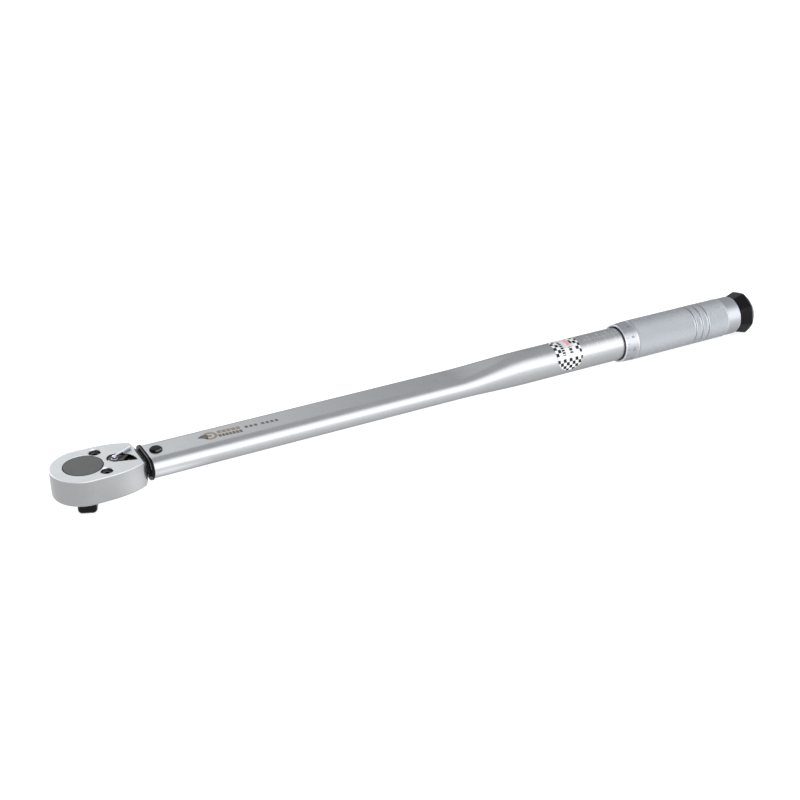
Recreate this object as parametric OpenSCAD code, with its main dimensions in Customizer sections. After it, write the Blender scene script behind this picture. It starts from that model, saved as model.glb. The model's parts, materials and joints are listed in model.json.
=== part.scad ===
// Click-type torque wrench with a reversible ratchet head and a 12.7 mm square drive.
// The origin is the centre of the drive square's tip face. +Z runs up through the drive
// axis to the lever side of the head, and +X runs along the tube to the grip.
// Modules work about the tube's axis, and lift() raises them to it.

/* [Overall] */
// Height of the tube's axis above the tip of the drive square
axis_h = 24.5; // [23.5:0.5:28]
// Clearance on the radius between pieces that turn or slide in each other
fit = 0.05; // [0.02:0.01:0.08]

/* [Head] */
// Radius of the head's round front
head_r = 21.9; // [21.9:0.1:23]
// Thickness of the head
head_t = 18.5; // [18.5:0.5:20]
// Distance from the drive axis to where the head's sides end
tail_x = 36.5; // [36.5:0.1:37]
// Half the head's width where its sides end
tail_w = 15.2; // [14.8:0.1:16]
// How late the sides curve in, as a power of the distance
tail_power = 3.2; // [2.8:0.1:4]
// Distance from the drive axis to the head's flat back
head_back_x = 38.3; // [38:0.1:38.5]
// Bevel along the top and bottom of the head's back
back_bevel = 2.3; // [1.5:0.1:2.6]
// Distance from the drive axis to the cover screws, along the tube
screw_x = 11.8; // [11.5:0.1:12]
// Distance of each cover screw from the centre line
screw_y = 13.6; // [13.4:0.1:14]
// Radius of the counterbore over each cover screw
counterbore_r = 4.2; // [4:0.1:4.4]

/* [Drive] */
// Size of the drive square across its flats
square_w = 12.7; // [12.6:0.05:12.8]
// Radius along the square's upright corners
square_corner_r = 2.8; // [1:0.1:3]
// Bevel round the square's tip
square_bevel = 1.8; // [0.8:0.1:2]
// Angle that the square stands at, turned about the drive axis
square_turn = -22; // [-45:1:45]
// Radius of the round face of the gear in the head's top
disc_r = 13; // [12:0.1:13]
// Number of ratchet teeth
tooth_count = 36; // [24,36,48]
// Radius over the ratchet teeth
gear_r = 14.8; // [14.4:0.1:14.8]
// Depth of the ratchet teeth
tooth_depth = 1.1; // [0.8:0.1:1.2]
// Radius of the detent ball in the square
ball_r = 2.4; // [2:0.1:2.6]
// How far the detent ball stands out of the square
ball_out = 1; // [0.6:0.1:1.2]

/* [Lever and pawl] */
// Distance from the drive axis to the lever's spindle
spindle_x = 21.2; // [21:0.1:21.4]
// Radius of the lever's spindle
spindle_r = 3; // [2.5:0.1:3.2]
// Half the lever's swing from one direction to the other
lever_half_swing = 18; // [15:1:20]
// Half the pawl's rock from one direction to the other
pawl_half_rock = 5.5; // [5:0.5:6]
// Reach of the lever from its spindle to its tip
lever_reach = 15; // [13:0.5:16]
// Depth of the lever's pocket in the top of the head
pocket_depth = 2.5; // [2:0.1:2.6]

/* [Tube] */
// Radius of the tube's round rear part
tube_r = 13.25; // [13:0.05:13.5]
// Wall of the tube
tube_wall = 2.4; // [2:0.1:2.4]
// Half the width of the tube's flattened front part
flat_half_w = 15.9; // [15.5:0.1:16.2]
// Half the height of the tube's flattened front part
flat_half_h = 7.6; // [7.6:0.1:8]
// Front end of the tube
tube_front_x = 42.5; // [42.5:0.1:43]
// Where the flattened part starts to turn round
flat_end_x = 278; // [250:1:290]
// Where the tube is fully round
round_start_x = 345; // [335:1:345]
// Rear end of the tube, hidden in the grip
tube_end_x = 494; // [490:1:496]
// Distance from the drive axis to the head's pivot pin
pivot_x = 49.6; // [49:0.1:50]
// Radius of the pivot pin
pivot_r = 4; // [3.5:0.1:4]

/* [Grip] */
// Front edge of the scale ring
grip_front_x = 432; // [432:0.5:434]
// Where the scale ring ends and the knurled part starts
knurl_start_x = 444.3; // [444:0.1:446]
// Where the knurled part ends and the plain band starts
knurl_end_x = 537; // [535:0.5:539]
// Rear end of the grip's plain band
band_end_x = 550; // [549:0.5:551]
// Radius of the knurled part
grip_r = 16; // [16:0.1:17]
// Radius of the scale ring's front edge
ring_front_r = 15.3; // [15.2:0.1:15.6]
// Radius of the plain band
band_r = 15.65; // [15.4:0.05:15.8]
// Distance from the drive axis to the first of the three grooves
groove_x = 502.5; // [495:0.5:510]
// Distance between the grooves
groove_pitch = 6.55; // [5:0.05:7]
// Radius over the lock knob's corners
knob_r = 18.1; // [17.8:0.1:18.4]
// Length of the lock knob
knob_l = 17.1; // [17:0.1:18]
// Distance from the knob's axis to its flats at its front
knob_flat_front = 13.9; // [13.5:0.1:14.5]
// Distance from the knob's axis to its flats at its widest
knob_flat_rear = 16.9; // [16.5:0.1:17.2]
// Angle that the knob's flats stand at, turned about its axis
knob_flat_turn = -12.5; // [-22.5:0.5:22.5]

/* [Click and setting] */
// Pitch of the adjusting screw
screw_pitch = 2; // [1.5:0.25:2.5]
// Outside radius of the adjusting screw
screw_r = 7; // [6.5:0.1:7.2]
// Radius of the wire of the main spring
spring_wire_r = 2; // [1.8:0.1:2]
// Middle radius of the main spring
spring_mid_r = 8.3; // [8:0.1:8.4]
// Number of turns in the main spring
spring_turns = 7; // [6:0.5:8]

/* [Hidden] */
$fn = 72;
eps = 0.02;
head_half = head_t / 2;

// Heights in the head, measured from the tube's axis
bay_top = 4.5;
bay_floor = -6.25;
counterbore_floor = 5.6;
pocket_floor = head_half - pocket_depth;
gear_top = bay_top - 2 * fit;
gear_bottom = bay_floor + fit;
face_gap = 0.05;
bay_r = gear_r + 0.2;
pawl_bay_r = 12.9;
pawl_bay_end_x = 29;
boss_r = 11.5;
cover_inset = 3;
cover_end_x = 31;
cover_screw_r = 2;
spindle_end = -7.7;
spindle_hub_r = 4.7;
detent_h = -18;
detent_hole_back = -4.2;
ball_centre = square_w / 2 - ball_r + ball_out;
pawl_top = 3.6;
plunger_h = -1;
plunger_r = 1.2;

// The shank reaches back into the flattened tube
shank_half_h = flat_half_h - tube_wall - 2 * fit;
neck_half_w = 7.5;
shank_end_half_w = 5.5;
shank_end_x = 76.05;

// The click block stands between the shank and the push rod
block_l = 7.95;
block_half_w = 4;
block_x = shank_end_x + fit;
rod_front_x = block_x + block_l + fit;
rod_head_end_x = 98;
rod_head_half_w = 7.6;
rod_r = 4.5;
flange_x = 352;
flange_t = 5;
spigot_r = 5.7;
spigot_l = 7;

// The setting train
seat_x = 425;
seat_t = 7;
bore_r = tube_r - tube_wall;
piston_r = bore_r - 2 * fit;
ball_x = seat_x + seat_t + 1;
thrust_ball_r = 4;
screw_front_x = ball_x + 1;
thread_start_x = 440;
thread_end_x = 530;
thread_depth = 0.9;
nut_front_x = 470;
stub_r = 6;
stub_end_x = 560;
lock_rod_r = 2.5;
rod_cap_x = 561;
rod_cap_r = 4.5;
rod_cap_t = 2;
wall_front_x = 533;
bush_x = 436;
bush_l = 8;
bush_r = 14.5;
label_half_w = 11.8;
label_half_h = 18.8;
label_x = 379.5;
label_turn = 123;
label_t = 0.15;
knob_x = band_end_x + 0.3;
knob_wide_x = band_end_x + 11.3;
insert_end_x = 564.2;
insert_r = 8.1;
knob_cap_r = 9;
knob_cap_x = insert_end_x + 0.1;
sleeve_mouth_r = 13.9;
sleeve_clear_r = 13.6;
nut_pin_r = 1.5;
nut_pin_x = 482;
nut_pin_start = 8.5;
set_screw_r = 1.5;
set_screw_x = 541.5;

module lift() {
  translate([0, 0, axis_h]) children();
}

// An upright round bar from height low to height high
module post(r, low, high) {
  translate([0, 0, low]) cylinder(r = r, h = high - low);
}

// A round bar lying along the tube from x = from to x = to
module bar(r, from, to) {
  translate([from, 0, 0]) rotate([0, 90, 0]) cylinder(r = r, h = to - from);
}

// A shape drawn in the tube's cross-section, drawn out from x = from to x = to
module along(from, to) {
  translate([from, 0, 0]) rotate([90, 0, 90]) linear_extrude(to - from) children();
}

// A profile of [x, radius] points turned about the tube's axis
module turned(points) {
  rotate([0, 90, 0]) rotate_extrude() polygon([for (p = points) [p[1], p[0]]]);
}

module slab(low, high) {
  translate([0, 0, low]) linear_extrude(high - low) children();
}

// A flat-sided oval: two half rounds joined by straight stretches
module oval(half_w, half_h) {
  flat = half_w - half_h;
  square([2 * flat, 2 * half_h], center = true);
  for (side = [-1, 1]) translate([side * flat, 0]) circle(half_h);
}

// Half the head's width at a distance x behind the drive axis
function side_w(x) = head_r - (head_r - tail_w) * pow(x / tail_x, tail_power);

// The head's outline seen from above, drawn in by inset and ended at end_x
function head_outline(inset, end_x) = concat(
  [for (a = [90 : 5 : 270]) (head_r - inset) * [cos(a), sin(a)]],
  [for (i = [1 : 12]) [end_x * i / 12, inset - side_w(end_x * i / 12)]],
  [for (i = [12 : -1 : 1]) [end_x * i / 12, side_w(end_x * i / 12) - inset]]
);

module head_plan() {
  polygon(head_outline(0, tail_x));
  polygon([
    [tail_x - 1, -tail_w], [tail_x, -tail_w], [head_back_x, -tail_w + 2], [head_back_x, tail_w - 2],
    [tail_x, tail_w], [tail_x - 1, tail_w]
  ]);
}

// The pocket is a round end about the spindle that opens into a fin
module pocket_plan() {
  round_r = 5.2;
  fin_r = 14.3;
  fin_centre = [spindle_x - 1.4, -8.2];
  fin_tip = [34.6, -9.4];
  translate([spindle_x, 0]) circle(round_r);
  intersection() {
    translate(fin_centre) circle(fin_r);
    polygon([[spindle_x - 1.5, -round_r + 0.2], fin_tip, [fin_tip[0] + 1, 8], [spindle_x, 8]]);
  }
}

module at_screws() {
  for (side = [-1, 1]) translate([screw_x, side * screw_y, 0]) children();
}

module at_spindle() {
  translate([spindle_x, 0, 0]) children();
}

module shank_plan() {
  polygon([
    [head_back_x - 2, -neck_half_w], [pivot_x + 8, -neck_half_w], [shank_end_x, -shank_end_half_w],
    [shank_end_x, shank_end_half_w], [pivot_x + 8, neck_half_w], [head_back_x - 2, neck_half_w]
  ]);
}

module back_bevels() {
  size = back_bevel * sqrt(2);
  for (side = [-1, 1]) {
    translate([head_back_x, 0, side * head_half]) rotate([0, 45, 0])
      cube([size, 4 * head_r, size], center = true);
  }
}

module head_body() {
  color("#bfc3c4") lift() difference() {
    union() {
      difference() {
        slab(-head_half, head_half) head_plan();
        back_bevels();
      }
      slab(-shank_half_h, shank_half_h) shank_plan();
    }
    post(bay_r, bay_floor - eps, bay_top);
    intersection() {
      at_spindle() post(pawl_bay_r, bay_floor - eps, bay_top);
      translate([0, -head_r, -head_half]) cube([pawl_bay_end_x, 2 * head_r, head_t]);
    }
    post(disc_r + fit, bay_top - 1, head_half + 1);
    slab(-head_half - 1, bay_floor) polygon(head_outline(cover_inset, cover_end_x));
    at_screws() {
      post(cover_screw_r + 0.1, bay_floor - 1, head_half);
      post(counterbore_r, counterbore_floor, head_half + 1);
    }
    slab(pocket_floor, head_half + 1) pocket_plan();
    at_spindle() post(spindle_r + fit, bay_top - 1, pocket_floor + 1);
    translate([pivot_x, 0, 0]) post(pivot_r + fit, -shank_half_h - 1, shank_half_h + 1);
  }
}

module cover_plate() {
  color("#8f9395") lift() difference() {
    slab(-head_half + face_gap, bay_floor - fit / 2)
      polygon(head_outline(cover_inset + fit, cover_end_x - fit));
    post(boss_r + fit, -head_half - 1, bay_floor + 1);
    at_screws() post(cover_screw_r + fit, -head_half - 1, bay_floor + 1);
    at_spindle() post(spindle_r + fit, spindle_end - fit, bay_floor + 1);
  }
}

module cover_screws() {
  head_r2 = 3.6;
  head_top = 7.45;
  socket_r = 1.75;
  color("#2b2b2d") lift() at_screws() difference() {
    union() {
      post(cover_screw_r, -head_half + 0.3, counterbore_floor + 1);
      post(head_r2, counterbore_floor + face_gap, head_top);
    }
    translate([0, 0, head_top - 1.2]) cylinder(r = socket_r, h = 2, $fn = 6);
  }
}

// The ratchet teeth: four points a tooth, with a flat at each tip and root
module gear_plan(clearance) {
  pitch_angle = 360 / tooth_count;
  tip_half = pitch_angle * 0.08;
  root_half = pitch_angle * 0.42;
  tip = gear_r + clearance;
  root = gear_r - tooth_depth + clearance;
  polygon([
    for (i = [0 : tooth_count - 1])
      for (p = [[-root_half, root], [-tip_half, tip], [tip_half, tip], [root_half, root]])
        p[1] * [cos(i * pitch_angle + p[0]), sin(i * pitch_angle + p[0])]
  ]);
}

module square_bar() {
  flat = square_w - 2 * square_corner_r;
  tip = -axis_h;
  bevel_size = square_bevel * sqrt(2);
  difference() {
    slab(tip, gear_bottom - 1) union() {
      square([square_w, flat], center = true);
      square([flat, square_w], center = true);
      for (x = [-1, 1], y = [-1, 1]) translate([x, y] * flat / 2) circle(square_corner_r);
    }
    for (a = [0 : 90 : 270]) rotate([0, 0, a]) translate([square_w / 2, 0, tip]) rotate([0, 45, 0])
      cube([bevel_size, 2 * square_w, bevel_size], center = true);
  }
}

// Lays its children along the way the detent ball moves
module at_detent() {
  translate([0, 0, detent_h]) rotate([0, 0, square_turn]) rotate([-90, 0, 0]) children();
}

module drive_gear() {
  edge = 0.3;
  top = head_half - face_gap;
  color("#55575a") lift() difference() {
    union() {
      slab(gear_bottom, gear_top) gear_plan(0);
      rotate_extrude() polygon([
        [0, gear_top - 1], [disc_r, gear_top - 1], [disc_r, top - edge], [disc_r - edge, top], [0, top]
      ]);
      post(boss_r, -head_half + face_gap, gear_bottom + 1);
      rotate([0, 0, square_turn]) square_bar();
    }
    at_detent() translate([0, 0, detent_hole_back]) cylinder(r = ball_r + fit, h = square_w);
  }
}

module detent_ball() {
  color("#c9cbcd") lift() at_detent() translate([0, 0, ball_centre]) sphere(r = ball_r);
}

// A coil spring standing on z = 0: rings of points along a helix, joined by triangles
module coil(mid_r, wire_r, height, turns, rings_a_turn, sides) {
  ring_count = round(turns * rings_a_turn);
  rise = height - 2 * wire_r;
  function ring_point(i, j) = let (
    turn = 360 * i / rings_a_turn,
    around = 360 * j / sides,
    r = mid_r + wire_r * cos(around)
  ) [r * cos(turn), r * sin(turn), wire_r + rise * i / ring_count + wire_r * sin(around)];
  function at(i, j) = i * sides + j % sides;
  polyhedron(
    points = [for (i = [0 : ring_count]) for (j = [0 : sides - 1]) ring_point(i, j)],
    faces = concat(
      [[for (j = [0 : sides - 1]) at(0, j)]],
      [for (i = [0 : ring_count - 1]) for (j = [0 : sides - 1]) [at(i, j), at(i + 1, j), at(i + 1, j + 1)]],
      [for (i = [0 : ring_count - 1]) for (j = [0 : sides - 1]) [at(i, j), at(i + 1, j + 1), at(i, j + 1)]],
      [[for (j = [sides - 1 : -1 : 0]) at(ring_count, j)]]
    )
  );
}

module detent_spring() {
  length = ball_centre - ball_r - detent_hole_back - 4 * fit;
  color("#9a9ea2") lift() at_detent() translate([0, 0, detent_hole_back + 2 * fit])
    coil(1.6, 0.3, length, 5, 12, 6);
}

// Seen from above, the pawl's two arms carry teeth cut by the gear itself
module pawl_plan() {
  arm_half_w = 10.8;
  tooth_start_y = 5.4;
  front_x = 8;
  back_x = 25.5;
  swing_r = pawl_bay_r - 0.3;
  difference() {
    intersection() {
      translate([spindle_x, 0]) circle(swing_r);
      translate([front_x, -arm_half_w]) square([back_x - front_x, 2 * arm_half_w]);
    }
    for (side = [-1, 1]) {
      translate([spindle_x, 0]) rotate(side * pawl_half_rock) translate([-spindle_x, 0]) gear_plan(0.06);
    }
    intersection() {
      circle(gear_r + 0.6);
      translate([0, -tooth_start_y]) square([2 * gear_r, 2 * tooth_start_y]);
    }
    translate([spindle_x, 0]) circle(spindle_r + fit);
  }
}

module pawl() {
  groove_r = 4.4;
  groove_half_h = 1.6;
  color("#6b6e70") lift() at_spindle() rotate([0, 0, pawl_half_rock]) difference() {
    translate([-spindle_x, 0, 0]) slab(bay_floor + 2 * fit, pawl_top) pawl_plan();
    post(groove_r, plunger_h - groove_half_h, plunger_h + groove_half_h);
  }
}

// Turns its children from the centre line to where the lever rests
module at_lever() {
  at_spindle() rotate([0, 0, lever_half_swing]) children();
}

// The hub and its paddle, whose corners are given as [distance, angle] from the spindle
module lever_lobe() {
  corners = [[6.2, -52], [9.5, -15], [8.2, -2], [spindle_hub_r, 22]];
  circle(spindle_hub_r);
  polygon(concat([[0, 0]], [for (c = corners) c[0] * [cos(c[1]), sin(c[1])]]));
}

module reversing_lever() {
  hub_top = 8.7;
  bar_low = head_half + 0.3;
  bar_high = head_half + 2.15;
  bar_w = 2;
  tab_r = 1.3;
  neck_r = 1.9;
  clip_groove_r = spindle_r - 0.5;
  bore_start = -1.6;
  color("#d5d8da") lift() at_lever() difference() {
    union() {
      post(spindle_r, spindle_end, pocket_floor + 0.5);
      slab(pocket_floor + fit, hub_top) lever_lobe();
      post(neck_r, hub_top - 0.5, bar_high);
      translate([0, -bar_w / 2, bar_low]) cube([lever_reach - tab_r, bar_w, bar_high - bar_low]);
      translate([lever_reach - tab_r, 0, 0]) post(tab_r, bar_low, bar_high + 0.5);
    }
    difference() {
      post(spindle_r + 1, bay_top - 0.85, bay_top - 0.15);
      post(clip_groove_r, bay_top - 2, bay_top + 1);
    }
    translate([0, 0, plunger_h]) rotate([0, -90, 0]) translate([0, 0, bore_start])
      cylinder(r = plunger_r + fit, h = 2 * spindle_r);
  }
}

module spindle_clip() {
  color("#3a3b3d") lift() at_spindle() slab(bay_top - 0.8, bay_top - 0.2) difference() {
    circle(spindle_r + 1.4);
    circle(spindle_r - 0.45);
    translate([0, -1.1]) square([spindle_r + 3, 2.2]);
  }
}

// The plunger lies in the spindle, and points at the drive axis
module at_plunger() {
  at_lever() translate([0, 0, plunger_h]) rotate([0, -90, 0]) children();
}

module lever_plunger() {
  tip = 4.2;
  color("#b4b7b9") lift() at_plunger() {
    post(plunger_r, 1.2, tip - plunger_r);
    intersection() {
      translate([0, 0, tip - plunger_r]) sphere(r = plunger_r);
      post(plunger_r + 1, tip - plunger_r - 0.1, tip + 1);
    }
  }
}

module lever_spring() {
  color("#9a9ea2") lift() at_plunger() translate([0, 0, -1.5]) coil(0.8, 0.2, 2.6, 4, 12, 6);
}

// A share from 0 at the flattened end to 1 at the round end, level at both ends
function ease(t) = t * t * (3 - 2 * t);

// The stretch of tube wall that turns from flattened to round: rings of points, first
// the outside and then the inside at each station, joined by triangles
module tube_loft() {
  stations = 12;
  ring = 48;
  skin = 0.05;
  flat = flat_half_w - flat_half_h;
  function loft_point(i, j, inset) = let (
    t = ease(i / stations),
    a = 360 * (j + 0.5) / ring,
    r = flat_half_h + (tube_r - flat_half_h) * t - inset
  ) [
    flat_end_x + (round_start_x - flat_end_x) * i / stations,
    sign(cos(a)) * flat * (1 - t) + r * cos(a),
    r * sin(a)
  ];
  function at(i, side, j) = (2 * i + side) * ring + j % ring;
  function two(a, b, c, d) = [[a, b, c], [a, c, d]];
  polyhedron(
    points = [
      for (i = [0 : stations], inset = [skin, tube_wall - skin], j = [0 : ring - 1])
        loft_point(i, j, inset)
    ],
    faces = [
      for (j = [0 : ring - 1]) each concat(
        two(at(0, 0, j), at(0, 0, j + 1), at(0, 1, j + 1), at(0, 1, j)),
        two(at(stations, 0, j + 1), at(stations, 0, j), at(stations, 1, j), at(stations, 1, j + 1)),
        [for (i = [0 : stations - 1]) each concat(
          two(at(i, 0, j), at(i + 1, 0, j), at(i + 1, 0, j + 1), at(i, 0, j + 1)),
          two(at(i, 1, j + 1), at(i + 1, 1, j + 1), at(i + 1, 1, j), at(i, 1, j))
        )]
      )
    ]
  );
}

module outer_tube() {
  color("#c4c7c9") lift() difference() {
    union() {
      along(tube_front_x, flat_end_x) difference() {
        oval(flat_half_w, flat_half_h);
        oval(flat_half_w - tube_wall, flat_half_h - tube_wall);
      }
      tube_loft();
      along(round_start_x, tube_end_x) difference() {
        circle(tube_r);
        circle(bore_r);
      }
    }
    translate([pivot_x, 0, 0]) post(pivot_r + fit, -2 * flat_half_h, 2 * flat_half_h);
    at_nut_pins() cylinder(r = nut_pin_r + eps, h = 2 * tube_r);
  }
}

module dust_collar() {
  lip_x = 39.4;
  step_x = 40.4;
  opening = [5, 2 * neck_half_w + 1.8, 2 * shank_half_h + 0.3];
  color("#161616") lift() difference() {
    union() {
      along(lip_x, step_x) oval(13.8, 6.5);
      along(step_x, tube_front_x - fit) oval(flat_half_w + 0.9, flat_half_h + 0.9);
    }
    translate([lip_x - 1, -opening[1] / 2, -opening[2] / 2]) cube(opening);
  }
}

module pivot_pin() {
  pin_head_r = 4.4;
  head_h = 1.5;
  edge = 0.9;
  low = -flat_half_h - 1.6;
  top = flat_half_h + fit + head_h;
  color("#1b1b1c") lift() translate([pivot_x, 0, 0]) rotate_extrude() polygon([
    [0, low], [pivot_r - 0.5, low], [pivot_r, low + 0.5], [pivot_r, low + 0.7], [pivot_r - 0.4, low + 0.7],
    [pivot_r - 0.4, low + 1.45], [pivot_r, low + 1.45], [pivot_r, top - head_h],
    [pin_head_r, top - head_h], [pin_head_r, top - edge], [pin_head_r - edge, top], [0, top]
  ]);
}

module pin_clip() {
  low = -flat_half_h - 0.85;
  color("#3a3b3d") lift() translate([pivot_x, 0, 0]) slab(low, low + 0.65) difference() {
    circle(pivot_r + 1.3);
    circle(pivot_r - 0.35);
    translate([0, -1.4]) square([pivot_r + 3, 2.8]);
  }
}

module click_block() {
  color("#7b7e80") lift() translate([block_x, -block_half_w, -block_half_w])
    cube([block_l, 2 * block_half_w, 2 * block_half_w]);
}

// The push rod's crowned head bears on the block, and its flange on the main spring
module push_rod() {
  crown = 1.05;
  color("#8b8e90") lift() {
    slab(-shank_half_h, shank_half_h) polygon([
      [rod_front_x, 0], [rod_front_x + crown, -block_half_w - 0.3], [rod_front_x + crown, -rod_head_half_w],
      [rod_head_end_x, -rod_head_half_w], [rod_head_end_x, rod_head_half_w],
      [rod_front_x + crown, rod_head_half_w], [rod_front_x + crown, block_half_w + 0.3]
    ]);
    bar(rod_r, rod_head_end_x - 1, flange_x + 1);
    bar(piston_r, flange_x, flange_x + flange_t);
    bar(spigot_r, flange_x + 1, flange_x + flange_t + spigot_l);
  }
}

module rod_guide() {
  guide_x = 346;
  color("#a98f4e") lift() along(guide_x, guide_x + 4) difference() {
    circle(bore_r - fit);
    circle(rod_r + fit);
  }
}

module main_spring() {
  front = flange_x + flange_t + fit;
  color("#6f7376") lift() translate([front, 0, 0]) rotate([0, 90, 0])
    coil(spring_mid_r, spring_wire_r, seat_x - front - fit, spring_turns, 14, 8);
}

module spring_seat() {
  color("#8b8e90") lift() difference() {
    union() {
      bar(piston_r, seat_x, seat_x + seat_t);
      bar(spigot_r, seat_x - spigot_l, seat_x + 1);
    }
    translate([ball_x, 0, 0]) sphere(r = thrust_ball_r + fit);
  }
}

module thrust_ball() {
  color("#c9cbcd") lift() translate([ball_x, 0, 0]) sphere(r = thrust_ball_r);
}

module at_nut_pins() {
  for (turn = [0, 180]) translate([nut_pin_x, 0, 0]) rotate([turn, 0, 0])
    translate([0, 0, nut_pin_start]) children();
}

module body_nut() {
  color("#a98f4e") lift() difference() {
    bar(bore_r - fit, nut_front_x, tube_end_x);
    bar(screw_r + fit, nut_front_x - 1, tube_end_x + 1);
    at_nut_pins() cylinder(r = nut_pin_r + eps, h = tube_r);
  }
}

module nut_pins() {
  length = tube_r - nut_pin_start - 0.1;
  color("#77797b") lift() at_nut_pins() translate([0, 0, eps]) cylinder(r = nut_pin_r, h = length);
}

// A point of the label, given along the tube and round it, flattened onto a plane across the tube
function label_point(along_x, arc) = [along_x, tube_r * sin(arc / tube_r * 180 / PI)];

// The label's outline: straight sides between two round ends
module label_plan() {
  end_arc = label_half_h - label_half_w;
  polygon([
    for (side = [1, -1], a = [0 : 6 : 180])
      label_point(side * label_half_w * cos(a), side * (end_arc + label_half_w * sin(a)))
  ]);
}

module round_label() {
  inner = tube_r + 0.01;
  color("#f1f1ee") lift() intersection() {
    along(label_x - label_half_w - 1, label_x + label_half_w + 1) difference() {
      circle(inner + label_t, $fn = 120);
      circle(inner, $fn = 120);
    }
    translate([label_x, 0, 0]) rotate([label_turn - 90, 0, 0]) linear_extrude(2 * tube_r) label_plan();
  }
}

function groove_points(x) = [
  [x - 0.4, grip_r], [x - 0.4, grip_r - 0.5], [x + 0.4, grip_r - 0.5], [x + 0.4, grip_r]
];

module at_set_screws() {
  for (turn = [-90, 180]) translate([set_screw_x, 0, 0]) rotate([turn, 0, 0])
    translate([0, 0, screw_r - 1]) children();
}

module grip_sleeve() {
  color("#b9bcbe") lift() difference() {
    turned(concat(
      [
        [grip_front_x, sleeve_mouth_r], [grip_front_x, ring_front_r],
        [knurl_start_x, grip_r - 0.1], [knurl_start_x, grip_r]
      ],
      groove_points(groove_x),
      groove_points(groove_x + groove_pitch),
      groove_points(groove_x + 2 * groove_pitch),
      [
        [knurl_end_x, grip_r], [knurl_end_x, band_r], [band_end_x, band_r], [band_end_x, screw_r + eps],
        [wall_front_x, screw_r + eps], [wall_front_x, sleeve_clear_r],
        [bush_x + bush_l, sleeve_clear_r],
        [bush_x + bush_l, bush_r], [bush_x, bush_r], [bush_x, sleeve_mouth_r]
      ]
    ));
    at_set_screws() cylinder(r = set_screw_r + eps, h = grip_r);
  }
}

module grip_bush() {
  color("#e6e4dc") lift() along(bush_x + fit, bush_x + bush_l - fit) difference() {
    circle(bush_r - fit);
    circle(tube_r + fit);
  }
}

// The thread is drawn as rings one pitch apart
function thread_points(start, end, r) = [
  for (x = [start : screw_pitch : end - screw_pitch])
    for (p = [[0.2, r - thread_depth], [0.9, r], [1.1, r], [1.8, r - thread_depth]])
      [x + p[0] * screw_pitch / 2, p[1]]
];

module adjusting_screw() {
  color("#97999b") lift() difference() {
    turned(concat(
      [[screw_front_x, 0], [screw_front_x, screw_r - 1], [thread_start_x, screw_r - 1]],
      thread_points(thread_start_x, thread_end_x, screw_r),
      [
        [thread_end_x, screw_r], [band_end_x, screw_r], [band_end_x, stub_r],
        [stub_end_x, stub_r], [stub_end_x, 0]
      ]
    ));
    translate([ball_x, 0, 0]) sphere(r = thrust_ball_r + fit);
    bar(lock_rod_r + fit, screw_front_x - 1, stub_end_x + 1);
    at_set_screws() cylinder(r = set_screw_r + eps, h = grip_r);
  }
}

module grip_set_screws() {
  length = 8.5;
  color("#2b2b2d") lift() at_set_screws() translate([0, 0, eps]) difference() {
    cylinder(r = set_screw_r, h = length);
    translate([0, 0, length - 1]) cylinder(r = 0.8, h = 2, $fn = 6);
  }
}

module lock_rod() {
  color("#a4a7a9") lift() {
    bar(lock_rod_r, ball_x + thrust_ball_r + 2 * fit, rod_cap_x + 1);
    bar(rod_cap_r, rod_cap_x, rod_cap_x + rod_cap_t);
  }
}

module insert_plan(clearance) {
  circle(r = insert_r + clearance, $fn = 6);
}

module knob_insert() {
  color("#8b8e90") lift() difference() {
    along(knob_x + 0.1, insert_end_x) insert_plan(0);
    bar(stub_r + fit, knob_x - 1, rod_cap_x - 2 * fit);
    bar(rod_cap_r + fit, rod_cap_x - 1, rod_cap_x + rod_cap_t + fit);
  }
}

// What is cut away outside the knob's flats, which lean outwards to the rear
module knob_flats() {
  flats = 8;
  lean = atan2(knob_flat_rear - knob_flat_front, knob_wide_x - knob_x);
  for (i = [0 : flats - 1]) rotate([knob_flat_turn + 360 * i / flats, 0, 0])
    translate([knob_x, 0, knob_flat_front]) rotate([0, -lean, 0])
      translate([-knob_r, -knob_r, 0]) cube([3 * knob_r, 2 * knob_r, knob_r]);
}

module lock_knob() {
  front_r = knob_flat_front + 1.05;
  end_x = band_end_x + knob_l;
  color("#111112") lift() difference() {
    turned([
      [knob_x, 0], [knob_x, front_r], [knob_wide_x, knob_r], [end_x - 1.5, knob_r - 4.8],
      [end_x, knob_r - 6.1], [end_x, 0]
    ]);
    knob_flats();
    along(knob_x - 1, knob_cap_x + 1) insert_plan(eps);
    bar(knob_cap_r, knob_cap_x, end_x + 1);
  }
}

module knob_cap() {
  color("#1a1a1b") lift() bar(knob_cap_r - eps, knob_cap_x + eps, band_end_x + knob_l - 0.5);
}

head_body();
cover_plate();
cover_screws();
drive_gear();
detent_ball();
detent_spring();
pawl();
reversing_lever();
spindle_clip();
lever_plunger();
lever_spring();
outer_tube();
dust_collar();
pivot_pin();
pin_clip();
click_block();
push_rod();
rod_guide();
main_spring();
spring_seat();
thrust_ball();
body_nut();
nut_pins();
round_label();
grip_sleeve();
grip_bush();
adjusting_screw();
grip_set_screws();
lock_rod();
lock_knob();
knob_insert();
knob_cap();
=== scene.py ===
import json
import math

import bmesh
import bpy
from mathutils import Matrix, Vector


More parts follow.
